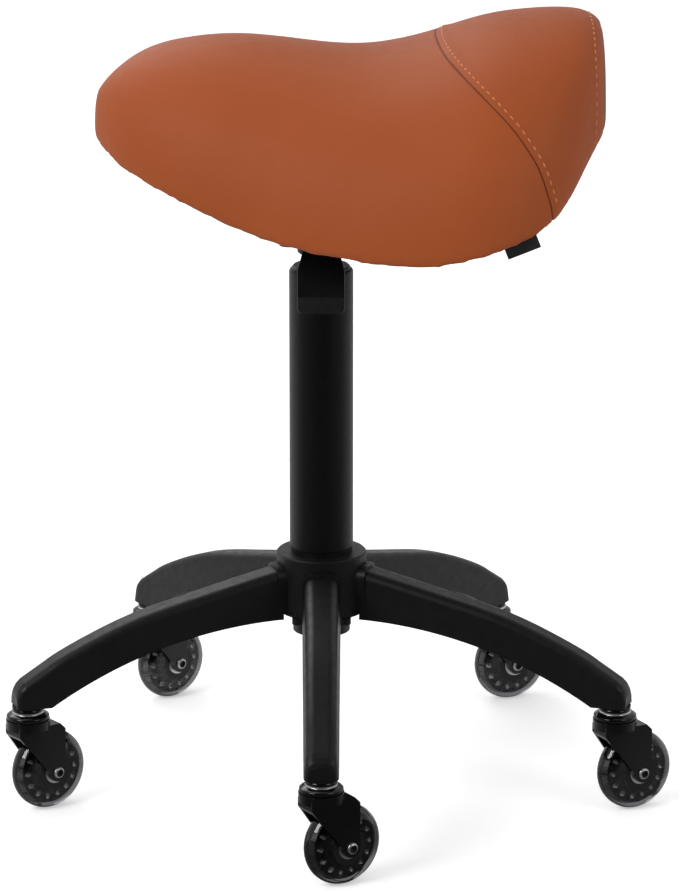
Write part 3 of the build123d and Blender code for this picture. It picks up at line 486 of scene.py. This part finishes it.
@dataclass
class CasterSet:
    """Forks with folded edges, axles with painted shade in their sockets and stems with a bright collar;
    millimetres.
    """

    model: Model
    fold_round: float = 0.7
    dish_round: float = 0.6
    socket_radius: float = 3.1
    axle_end: float = 14.0
    collar_bottom: float = 82.0
    collar_bright: float = 83.6

    def build(self) -> None:
        """Replace the forks, axles and stems by finished copies."""
        for number in CASTERS:
            self.fork(number)
            self.axle(number)
        self.stems()

    def fork(self, number: int) -> None:
        """Round the edges of one fork.

        Args:
            number: the caster's number.
        """
        node = self.model.nodes[f"caster_fork_{number}"]
        fork = rounded_copy(node, f"fork_shell_{number}", self.fold_round)
        self.model.stand_in(fork, f"fork_{number}", [node.name], CASTER_COAT)

    def axle(self, number: int) -> None:
        """Paint shade on the middle of one axle's ends, where its socket is.

        Args:
            number: the caster's number.
        """
        node = self.model.nodes[f"caster_axle_{number}"]
        joint = self.model.joints[f"caster_spin_{number}"]
        middle = Vector(joint["pos_m"])
        axis = Vector(joint["axis"])
        work = welded(node)
        radius = work.verts.layers.float.new("radius")
        for vert in work.verts:
            vert[radius] = (vert.co - middle).cross(axis).length
        cut_at(work, radius, self.socket_radius * MM)
        for face in work.faces:
            away = face.calc_center_median() - middle
            inner = away.cross(axis).length < self.socket_radius * MM
            # End faces inside the socket's radius get the painted socket shade.
            face.material_index = int(inner and abs(away.dot(axis)) > self.axle_end * MM)
        axle = new_piece(f"axle_bolt_{number}", work)
        self.model.stand_in(axle, f"fork_{number}", [node.name], BRIGHT_STEEL, SOCKET_SHADE)

    def stems(self) -> None:
        """Leave a bright ring at the foot of each stem's collar."""
        work = rounded(self.model.nodes["caster_stems"], self.dish_round)
        height = work.verts.layers.float.new("height")
        for vert in work.verts:
            vert[height] = vert.co.z
        cut_at(work, height, self.collar_bright * MM)
        for face in work.faces:
            middle = face.calc_center_median().z / MM
            face.material_index = int(self.collar_bottom < middle < self.collar_bright)
        stems = new_piece("stem_dishes", work)
        self.model.stand_in(stems, "base", ["caster_stems"], CASTER_COAT, BRIGHT_STEEL)


@dataclass
class ReleaseLever:
    """Moulded paddle with softened edges."""

    model: Model
    edge_round: float = 1.0

    def build(self) -> None:
        """Replace the paddle by a copy with rounded edges."""
        paddle = rounded_copy(self.model.nodes["lever_paddle"], "paddle_shell", self.edge_round)
        self.model.stand_in(paddle, "lever", ["lever_paddle"], BLACK_NYLON)


@dataclass
class Seam:
    """A sewn seam that runs over the seat, drawn as a line of X and Z in the side view; millimetres."""

    name: str
    line: tuple[tuple[float, float], ...]
    stitch_offset: float
    groove_depth: float
    groove_half: float = 0.6
    # Half width of the painted shade along the groove.
    groove_shade_half: float = 0.4
    ridge_height: float = 0.35
    ridge_width: float = 9.0
    run_on: float = 4.0
    samples: int = 12

    def offsets(self, points: np.ndarray) -> np.ndarray:
        """Signed distance of points from the seam in the side view, positive to the rear.

        Args:
            points: rows of X, Y and Z in metres.
        Returns:
            One distance in metres for each row.
        """
        curve = np.array(self.smooth_line())
        flat = points[:, (0, 2)]
        best = np.full(len(flat), np.inf)
        side = np.zeros(len(flat))
        for start, end in zip(curve, curve[1:]):
            along = end - start
            share = np.clip((flat - start) @ along / (along @ along), 0, 1)
            away = flat - start - share[:, None] * along
            gap = np.hypot(away[:, 0], away[:, 1])
            nearer = gap < best
            best[nearer] = gap[nearer]
            side[nearer] = np.sign(along[0] * away[nearer, 1] - along[1] * away[nearer, 0])
        return best * side

    def smooth_line(self) -> list[tuple[float, float]]:
        """Draw a smooth curve through the seam's line, run on straight past both ends.

        Returns:
            Points from the crown down, in metres.
        """
        ends = [Vector(point) * MM for point in self.line]
        first = 2 * ends[0] - ends[1]
        last = 2 * ends[-1] - ends[-2]
        above = first + self.run_on * (first - ends[0])
        below = last + self.run_on * (last - ends[-1])
        knots = [above, first, *ends, last, below]
        curve = []
        for before, start, end, after in zip(knots, knots[1:], knots[2:], knots[3:]):
            for step in range(self.samples):
                t = step / self.samples
                point = 0.5 * (2 * start + t * (end - before)
                               + t * t * (2 * before - 5 * start + 4 * end - after)
                               + t ** 3 * (3 * start - before - 3 * end + after))
                curve.append(tuple(point))
        return curve

    def levels(self) -> list[float]:
        """Distances in metres at which the mesh is cut along the seam, the stitches' line last."""
        half = self.groove_half
        return [level * MM for level in (-2 * half, -half, 0, half, 2 * half, self.stitch_offset)]

    def rise(self, offset: float) -> float:
        """Shape the cover across the seam: a groove, and a low ridge under the stitches.

        Args:
            offset: distance from the seam in metres.
        Returns:
            Height in metres by which the surface stands out there.
        """
        away = offset / MM
        groove = -self.groove_depth * math.exp(-((away / self.groove_half) ** 2))
        behind = away * math.copysign(1, self.stitch_offset)
        share = min(max(behind / self.ridge_width, 0), 1)
        ridge = self.ridge_height * math.sin(math.pi * share) ** 0.5 if 0 < share < 1 else 0
        return (groove + ridge) * MM


@dataclass
class Thread:
    """Row of stitches of one seam; sizes in millimetres."""

    pitch: float = 7.2
    length: float = 4.7
    radius: float = 0.7
    sunk: float = 0.05
    end_flattening: float = 0.3
    end_dip: float = 0.5
    end_gap: int = 2
    sides: int = 8
    rings: int = 6

    def build(self, name: str, path: list[tuple[Vector, Vector]]) -> bpy.types.Object:
        """Lay stitches along a path on the cover.

        Args:
            name: the piece's name.
            path: points on the cover with their normals, in order.
        Returns:
            One object with all the stitches.
        """
        work = bmesh.new()
        travelled = 0.0
        due = self.end_gap * self.pitch * MM
        for (start, normal), (end, _) in zip(path, path[1:]):
            step = (end - start).length
            while due <= travelled + step and step > 0:
                spot = start.lerp(end, (due - travelled) / step)
                self.stitch(work, spot - normal * self.sunk * MM, (end - start).normalized(), normal)
                due += self.pitch * MM
            travelled += step
        return new_piece(name, work)

    def stitch(self, work: bmesh.types.BMesh, spot: Vector, along: Vector, normal: Vector) -> None:
        """Add one stitch: a short round bar whose ends dip into the cover.

        Args:
            work: mesh that gets the stitch.
            spot: its middle.
            along: its direction.
            normal: the cover's normal there.
        """
        across = normal.cross(along).normalized()
        up = along.cross(across)
        turn = Matrix((along, across, up)).transposed().to_4x4()
        made = bmesh.ops.create_uvsphere(work, u_segments=self.sides, v_segments=self.rings,
                                         radius=self.radius * MM)
        half = self.length / 2 * MM
        for vert in made["verts"]:
            share = vert.co.z / (self.radius * MM)
            flat = 1 - self.end_flattening * share * share
            vert.co = Vector((half * share, vert.co.x, vert.co.y * flat))
            vert.co.z -= self.end_dip * self.radius * MM * share * share
            vert.co = turn @ vert.co + spot


@dataclass
class SaddleSeat:
    """Padded saddle with its cover, seams, under cloth and side tab; sizes in millimetres.

    Where the cover turns under is read from the upward share of its normal, from 1 on top to -1 below.
    """

    model: Model
    voxel: float = 3.8
    smoothing: int = 36
    rim_rounds: int = 6
    rim_limit: float = 0.3
    slack: float = 0.3
    rim_fill: float = 2.0
    turn_start: float = 0.25
    turn_span: float = 0.9
    flat_start: float = -0.75
    flat_span: float = 0.2
    flat_share: float = 0.8
    held_limit: float = -0.5
    seam_hold: float = 0.5
    seam_hold_width: float = 2.5
    swell_cap: float = 2.4
    pressure: float = 4.0
    frames: int = 20
    pucker: float = 0.3
    pucker_size: float = 28.0
    pucker_span: float = 0.8
    seams: tuple[Seam, ...] = field(default_factory=lambda: (
        Seam("rear_seam",
             ((88.3, 603.5), (94.5, 597.4), (106.9, 588.3), (122.5, 576.4), (138.4, 562), (149.6, 548.5),
              (161.1, 530), (168.7, 508.2), (172, 493.8), (173.5, 470)),
             stitch_offset=4.4, groove_depth=0.8),
        Seam("back_seam",
             ((210, 628), (214, 618), (214.6, 600), (214.7, 570), (214.2, 546), (212, 530)),
             stitch_offset=-7.8, groove_depth=0.5),
    ))

    def build(self) -> None:
        """Make the cushion with its threads, the under cloth and the tab."""
        cushion = self.cushion()
        paths = self.sew(cushion)
        self.model.stand_in(cushion, "seat", ["seat_cover", "seat_foam"], TAN_LEATHER)
        for seam, path in zip(self.seams, paths):
            thread = Thread().build(f"{seam.name}_thread", path)
            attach(thread, "seat")
            self.model.finisher.paint(thread, THREAD)
        UnderCloth(self.model).build()
        SideTab(self.model).build()

    def cushion(self) -> bpy.types.Object:
        """Remesh the cover and foam as one body, fill its rim, swell it and refine it.

        Returns:
            The cushion, not yet sewn.
        """
        nodes = self.model.nodes
        rough = new_piece("seat_rough", welded(nodes["seat_cover"], nodes["seat_foam"]))
        remesh = rough.modifiers.new("even mesh", "REMESH")
        remesh.mode = "VOXEL"
        remesh.voxel_size = self.voxel * MM
        work = evaluated(rough)
        bpy.data.objects.remove(rough)
        even_out(work, self.smoothing)
        rim = [vert for vert in work.verts if vert.normal.z < self.rim_limit]
        for _ in range(self.rim_rounds):
            smooth(work, rim, SMOOTH_FACTOR)
        work.normal_update()
        held = self.held(work)
        for vert, weight in zip(work.verts, held):
            turned = smooth_step((self.turn_start - vert.normal.z) / self.turn_span)
            flat = smooth_step((self.flat_start - vert.normal.z) / self.flat_span)
            under = turned - self.flat_share * flat
            fill = self.rim_fill * under - self.slack * (1 - under) * (1 - weight)
            vert.co += vert.normal * fill * MM
        soft = new_piece("seat_soft", work)
        self.swell(soft, held)
        finer = soft.modifiers.new("finer mesh", "SUBSURF")
        finer.levels = finer.render_levels = 1
        work = evaluated(soft)
        bpy.data.objects.remove(soft)
        return new_piece("seat_cushion", work)

    def held(self, work: bmesh.types.BMesh) -> list[float]:
        """Find how firmly the board, the lower edge and the seams hold the cover.

        Args:
            work: the cushion's mesh.
        Returns:
            A weight from 0 to 1 for each point.
        """
        points = np.array([vert.co for vert in work.verts])
        firm = np.array([1.0 if vert.normal.z < self.held_limit else 0.0 for vert in work.verts])
        for seam in self.seams:
            away = seam.offsets(points) / (self.seam_hold_width * MM)
            firm = np.maximum(firm, self.seam_hold * np.exp(-(away ** 2)))
        return [float(value) for value in firm]

    def swell(self, piece: bpy.types.Object, held: list[float]) -> None:
        """Blow the cover up a little between its held lines with a cloth simulation.

        Args:
            piece: object to swell, whose mesh is changed.
            held: how firmly each point is held.
        """
        group = piece.vertex_groups.new(name="held")
        for index, weight in enumerate(held):
            group.add([index], weight, "REPLACE")
        cloth = piece.modifiers.new("swell", "CLOTH")
        cloth.settings.use_pressure = True
        cloth.settings.uniform_pressure_force = self.pressure
        cloth.settings.vertex_group_mass = group.name
        cloth.settings.effector_weights.gravity = 0
        scene = bpy.context.scene
        for frame in range(1, self.frames + 1):
            scene.frame_set(frame)
        shown = piece.evaluated_get(bpy.context.evaluated_depsgraph_get())
        swollen = [vert.co.copy() for vert in shown.data.vertices]
        piece.modifiers.remove(cloth)
        scene.frame_set(1)
        moved = 0.0
        for vert, target in zip(piece.data.vertices, swollen):
            move = target - vert.co
            move.length = min(move.length, self.swell_cap * MM)
            vert.co += move
            moved += move.length / len(swollen)
        log.info("%s is swollen by %.2f mm on average", piece.name, moved / MM)

    def sew(self, cushion: bpy.types.Object) -> list[list[tuple[Vector, Vector]]]:
        """Sink the seams, pucker the lower edge and paint shade along the grooves.

        Args:
            cushion: object whose mesh is changed.
        Returns:
            The stitches' path of each seam.
        """
        work = bmesh.new()
        work.from_mesh(cushion.data)
        # All layers are made before any point is kept, because a new layer makes kept points invalid.
        for name in (SEAM_SHADE_VALUE, *(seam.name for seam in self.seams)):
            work.verts.layers.float.new(name)
        layers = work.verts.layers.float
        groove_shade = layers[SEAM_SHADE_VALUE]
        chains = []
        for seam in self.seams:
            layer = layers[seam.name]
            offsets = seam.offsets(np.array([vert.co for vert in work.verts]))
            for vert, offset in zip(work.verts, offsets):
                vert[layer] = offset
            for level in seam.levels():
                cut = cut_at(work, layer, level)
            chains.append(cut)
        work.normal_update()
        moves = []
        for vert in work.verts:
            move = 0.0
            for seam in self.seams:
                offset = vert[layers[seam.name]]
                move += seam.rise(offset)
                # Painted shade along each groove, strongest at its middle.
                vert[groove_shade] = max(vert[groove_shade], math.exp(-((offset / (seam.groove_shade_half * MM)) ** 2)))
            moves.append(vert.normal * (move + self.puckering(vert)))
        for vert, move in zip(work.verts, moves):
            vert.co += move
        work.normal_update()
        paths = [longest_run(chain) for chain in chains]
        work.to_mesh(cushion.data)
        work.free()
        return paths

    def puckering(self, vert: bmesh.types.BMVert) -> float:
        """Small gathers where the cover turns under, fading up the side."""
        low = smooth_step((self.turn_start - vert.normal.z) / self.pucker_span)
        return self.pucker * MM * low * noise.noise(vert.co / (self.pucker_size * MM))


def smooth(work: bmesh.types.BMesh, verts: Iterable[bmesh.types.BMVert], factor: float) -> None:
    """Move points towards their neighbours' middle by a factor."""
    bmesh.ops.smooth_vert(work, verts=verts, factor=factor,
                          use_axis_x=True, use_axis_y=True, use_axis_z=True)


def even_out(work: bmesh.types.BMesh, rounds: int) -> None:
    """Smooth small steps away without shrinking the body.

    Args:
        work: mesh to smooth.
        rounds: how often each point moves towards its neighbours and a little further back.
    """
    for _ in range(rounds):
        smooth(work, work.verts, SMOOTH_FACTOR)
        smooth(work, work.verts, BACK_FACTOR)
    work.normal_update()


def smooth_step(share: float) -> float:
    """Ease a share from 0 to 1, and hold it outside that range."""
    held = max(0.0, min(1.0, share))
    return held * held * (3 - 2 * held)


def evaluated(piece: bpy.types.Object) -> bmesh.types.BMesh:
    """Copy an object's mesh with its modifiers applied.

    Args:
        piece: object to copy.
    Returns:
        The new mesh.
    """
    shown = piece.evaluated_get(bpy.context.evaluated_depsgraph_get())
    work = bmesh.new()
    work.from_mesh(shown.data)
    return work


def cut_at(work: bmesh.types.BMesh, layer: bmesh.types.BMLayerItem,
           level: float) -> list[bmesh.types.BMVert]:
    """Cut a mesh along one level of a value on its points.

    Args:
        work: mesh to cut.
        layer: the value on its points.
        level: the value to cut at.
    Returns:
        The new points on the cut.
    """
    crossed = [edge for edge in work.edges
               if (edge.verts[0][layer] - level) * (edge.verts[1][layer] - level) < 0]
    made = []
    for edge in crossed:
        first, second = edge.verts
        share = (level - first[layer]) / (second[layer] - first[layer])
        values = {name: first[item] + share * (second[item] - first[item])
                  for name, item in work.verts.layers.float.items()}
        _, vert = bmesh.utils.edge_split(edge, first, share)
        for name, value in values.items():
            vert[work.verts.layers.float[name]] = value
        vert[layer] = level
        made.append(vert)
    bmesh.ops.connect_verts(work, verts=made)
    return made


def longest_run(chain: list[bmesh.types.BMVert]) -> list[tuple[Vector, Vector]]:
    """Order a cut's points and keep the longest run on the outer side.

    Args:
        chain: points of one cut in any order.
    Returns:
        Points with their normals, from end to end.
    """
    outer = {vert for vert in chain if vert.normal.z > UNDERSIDE}
    near = {vert: [edge.other_vert(vert) for edge in vert.link_edges if edge.other_vert(vert) in outer]
            for vert in outer}
    runs = []
    ends = [vert for vert in outer if len(near[vert]) == 1]
    for end in sorted(ends, key=lambda vert: (vert.co.y, vert.co.z)):
        run = [end]
        seen = {end}
        while True:
            ahead = [vert for vert in near[run[-1]] if vert not in seen]
            if not ahead:
                break
            run.append(ahead[0])
            seen.add(ahead[0])
        runs.append(run)
    best = max(runs, key=len)
    return [(vert.co.copy(), vert.normal.copy()) for vert in best]


@dataclass
class UnderCloth:
    """Spun cloth stapled under the board, with slight waves; millimetres, but its flat size in metres."""

    model: Model
    thickness: float = 0.6
    proud: float = 0.3
    wave_height: float = 0.35
    wave_size: float = 22.0
    lower_limit: float = -0.3
    longest_edge: float = 9.0
    cuts: int = 2
    flat: tuple[float, float] = (0.345, 0.322)
    area: float = 0.0694

    def build(self) -> None:
        """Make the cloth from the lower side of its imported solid."""
        work = welded(self.model.nodes["under_cover"])
        others = [face for face in work.faces if face.normal.z > self.lower_limit]
        bmesh.ops.delete(work, geom=others, context="FACES")
        long_edges = [edge for edge in work.edges if edge.calc_length() > self.longest_edge * MM]
        bmesh.ops.subdivide_edges(work, edges=long_edges, cuts=self.cuts, use_grid_fill=True)
        bmesh.ops.triangulate(work, faces=work.faces)
        work.normal_update()
        for vert in work.verts:
            wave = noise.noise(vert.co / (self.wave_size * MM))
            vert.co += vert.normal * (self.proud + self.wave_height * wave) * MM
        bmesh.ops.solidify(work, geom=work.faces, thickness=self.thickness * MM)
        bmesh.ops.recalc_face_normals(work, faces=work.faces)
        cloth = new_piece("under_cloth", work)
        self.model.stand_in(cloth, "seat", ["under_cover"], UNDER_CLOTH)


@dataclass
class SideTab:
    """Folded tape sewn under the lower edge; sizes in millimetres."""

    model: Model
    thickness: float = 0.55
    bulge: float = 0.35
    tuck: float = 4.0
    columns: int = 12
    turns: int = 8
    digits: int = 6

    def build(self) -> None:
        """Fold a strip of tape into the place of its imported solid."""
        node = self.model.nodes["side_tab"]
        low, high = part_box("side_tab")
        middle = (low.y + high.y) / 2
        corners = [vert.co for vert in node.data.vertices if vert.co.y < middle]
        front = sorted({tuple(round(value, self.digits) for value in co) for co in corners})
        left = sorted((Vector(co) for co in front[:2]), key=lambda co: co.z)
        right = sorted((Vector(co) for co in front[2:]), key=lambda co: co.z)
        along = right[0] - left[0]
        rise = left[1] - left[0]
        depth = high.y - low.y - self.thickness * MM
        half = depth / 2
        height = rise.length - half + self.tuck * MM
        up = rise.normalized()
        outline = self.outline(half, height)
        work = bmesh.new()
        grid = []
        for column in range(self.columns + 1):
            share = column / self.columns
            lean = self.bulge * MM * math.sin(math.pi * share)
            base = left[0] + along * share + up * half + Vector((0, depth / 2 + self.thickness / 2 * MM, 0))
            spots = [base + up * raised + Vector((0, side - lean * (1 - raised / height), 0))
                     for side, raised in outline]
            grid.append([work.verts.new(spot) for spot in spots])
        for before, after in zip(grid, grid[1:]):
            for place in range(len(outline) - 1):
                work.faces.new((before[place], before[place + 1], after[place + 1], after[place]))
        bmesh.ops.recalc_face_normals(work, faces=work.faces)
        bmesh.ops.solidify(work, geom=work.faces, thickness=self.thickness * MM)
        bmesh.ops.recalc_face_normals(work, faces=work.faces)
        tab = new_piece("tab_tape", work)
        self.model.stand_in(tab, "seat", ["side_tab"], TAPE)

    def outline(self, half: float, height: float) -> list[tuple[float, float]]:
        """Draw the folded tape from its side.

        Args:
            half: half of the gap between its two legs, in metres.
            height: length of each leg, in metres.
        Returns:
            Points of distance from the middle and of height, from one end round the fold to the other.
        """
        angles = [math.pi * step / self.turns for step in range(self.turns + 1)]
        fold = [(half * math.cos(angle), -half * math.sin(angle)) for angle in angles]
        return [(half, height), (half, height / 2), *fold, (-half, height / 2), (-half, height)]


@dataclass
class Lamp:
    """One soft box; metres and watts."""

    name: str
    place: tuple[float, float, float]
    target: tuple[float, float, float]
    width: float
    height: float
    power: float


@dataclass
class Studio:
    """Pale floor, soft boxes, even surroundings and the photograph's camera; metres."""

    floor_size: float = 30.0
    floor_front: float = -0.6
    floor_roughness: float = 0.9
    floor_specular: float = 0.1
    floor_colour: str = "E9E9E9"
    floor_mirrored: str = "4A4A4A"
    mirrored_reach: tuple[float, float] = (-0.3, 0.2)
    floor_glow: tuple[float, float] = (0.42, 0.62)
    glow_reach: tuple[float, float] = (0.5, 2.2)
    surround: float = 0.55
    front_reflection: float = 0.03
    front_reach: tuple[float, float] = (-0.9, 0.5)
    upper_reflection: float = 0.6
    upper_reach: tuple[float, float] = (-0.05, 0.3)
    camera_place: tuple[float, float, float] = (0.00526, -3.4305, 1.2353)
    camera_pitch: float = 15.62
    camera_yaw: float = -0.15
    focal_pixels: float = 4537.7
    image_height: float = 892.0
    sensor_height: float = 24.0
    lamps: tuple[Lamp, ...] = (
        Lamp("key", (-1.9, -1.6, 1.9), (-0.05, 0, 0.45), 1.2, 1.2, 44),
        Lamp("fill", (1.9, -1.5, 1.4), (0, 0, 0.4), 1.2, 1.6, 14),
        Lamp("back", (-1.1, 1.9, 1.9), (-0.05, 0, 0.5), 1.6, 1.2, 16),
        Lamp("top", (-0.6, 0.6, 2.2), (-0.1, 0, 0.5), 1.2, 1.2, 7),
    )

    def build(self) -> None:
        """Set up floor, surroundings, lamps and camera."""
        self.floor()
        self.world()
        for lamp in self.lamps:
            self.soft_box(lamp)
        self.camera()
        bpy.context.scene.view_settings.view_transform = "Standard"

    def floor(self) -> None:
        """Lay a pale floor that reads white to the camera, keeps the shadow and mirrors little in front."""
        work = bmesh.new()
        bmesh.ops.create_grid(work, x_segments=1, y_segments=1, size=self.floor_size / 2)
        bmesh.ops.translate(work, verts=work.verts, vec=(0, self.floor_size / 2 + self.floor_front, 0))
        floor = new_piece("floor", work)
        material = bpy.data.materials.new("pale_floor")
        material.use_nodes = True
        tree = material.node_tree
        shader = tree.nodes["Principled BSDF"]
        shader.inputs["Roughness"].default_value = self.floor_roughness
        shader.inputs["Specular IOR Level"].default_value = self.floor_specular
        shader.inputs["Emission Color"].default_value = linear(WHITE)
        path = add_node(tree, "LightPath")
        place = add_node(tree, "TexCoord").outputs["Object"]
        split = add_node(tree, "SeparateXYZ", None, {0: place})
        ahead = map_range(tree, split.outputs["Y"], self.mirrored_reach, (1.0, 0.0))
        dimmed = multiplied(tree, path.outputs["Is Glossy Ray"], ahead)
        tone = mixed(tree, "RGBA", dimmed, linear(self.floor_colour), linear(self.floor_mirrored))
        tree.links.new(tone, shader.inputs["Base Color"])
        reach = add_node(tree, "VectorMath", {"operation": "LENGTH"}, {0: place})
        glow = map_range(tree, reach.outputs["Value"], self.glow_reach, self.floor_glow)
        seen = multiplied(tree, path.outputs["Is Camera Ray"], glow)
        tree.links.new(seen, shader.inputs["Emission Strength"])
        floor.data.materials.append(material)

    def world(self) -> None:
        """Surround the object evenly: white to the camera, dimmer in mirror from the front and above."""
        world = bpy.data.worlds.new("surround")
        world.use_nodes = True
        bpy.context.scene.world = world
        tree = world.node_tree
        back = tree.nodes["Background"]
        way = add_node(tree, "TexCoord").outputs["Generated"]
        split = add_node(tree, "SeparateXYZ", None, {0: way})
        front = map_range(tree, split.outputs["Y"], self.front_reach,
                          (self.front_reflection, 1.0), "SMOOTHSTEP")
        above = map_range(tree, split.outputs["Z"], self.upper_reach,
                          (1.0, self.upper_reflection), "SMOOTHSTEP")
        path = add_node(tree, "LightPath")
        glossy = mixed(tree, "FLOAT", path.outputs["Is Glossy Ray"], self.surround,
                       multiplied(tree, front, above))
        clear = add_node(tree, "Math", {"operation": "MAXIMUM"},
                         {0: path.outputs["Is Camera Ray"], 1: path.outputs["Is Transmission Ray"]})
        level = mixed(tree, "FLOAT", clear.outputs[0], glossy, 1.0)
        tree.links.new(level, back.inputs["Strength"])
        back.inputs["Color"].default_value = linear(WHITE)

    def soft_box(self, lamp: Lamp) -> None:
        """Hang one soft box, turned to its target.

        Args:
            lamp: the soft box.
        """
        light = bpy.data.lights.new(lamp.name, "AREA")
        light.shape = "RECTANGLE"
        light.size = lamp.width
        light.size_y = lamp.height
        light.energy = lamp.power
        holder = bpy.data.objects.new(lamp.name, light)
        holder.location = lamp.place
        way = Vector(lamp.target) - Vector(lamp.place)
        holder.rotation_euler = way.to_track_quat("-Z", "Y").to_euler()
        bpy.context.scene.collection.objects.link(holder)

    def camera(self) -> None:
        """Place the camera where the photograph was taken from."""
        data = bpy.data.cameras.new("view")
        data.sensor_fit = "VERTICAL"
        data.sensor_height = self.sensor_height
        data.lens = self.focal_pixels * self.sensor_height / self.image_height
        holder = bpy.data.objects.new("view", data)
        holder.location = self.camera_place
        tilt = math.radians(90 - self.camera_pitch)
        holder.rotation_euler = Euler((tilt, 0, math.radians(self.camera_yaw)))
        bpy.context.scene.collection.objects.link(holder)
        bpy.context.scene.camera = holder


def clear_scene() -> None:
    """Remove what a new file starts with."""
    for item in list(bpy.data.objects):
        bpy.data.objects.remove(item)


def main() -> None:
    """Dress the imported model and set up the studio."""
    logging.basicConfig(level=logging.INFO, format="%(name)s: %(message)s")
    clear_scene()
    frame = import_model()
    slots = {part["node"]: part["material_slot"] for part in frame["record"]["subparts"]}
    joints = {joint["name"]: joint for joint in frame["record"]["behaviour"]["joints"]}
    model = Model(frame["nodes"], slots, joints, Finisher())
    CarriedParts(model).dress()
    CasterSet(model).build()
    ReleaseLever(model).build()
    SaddleSeat(model).build()
    Studio().build()


if __name__ == "__main__":
    main()
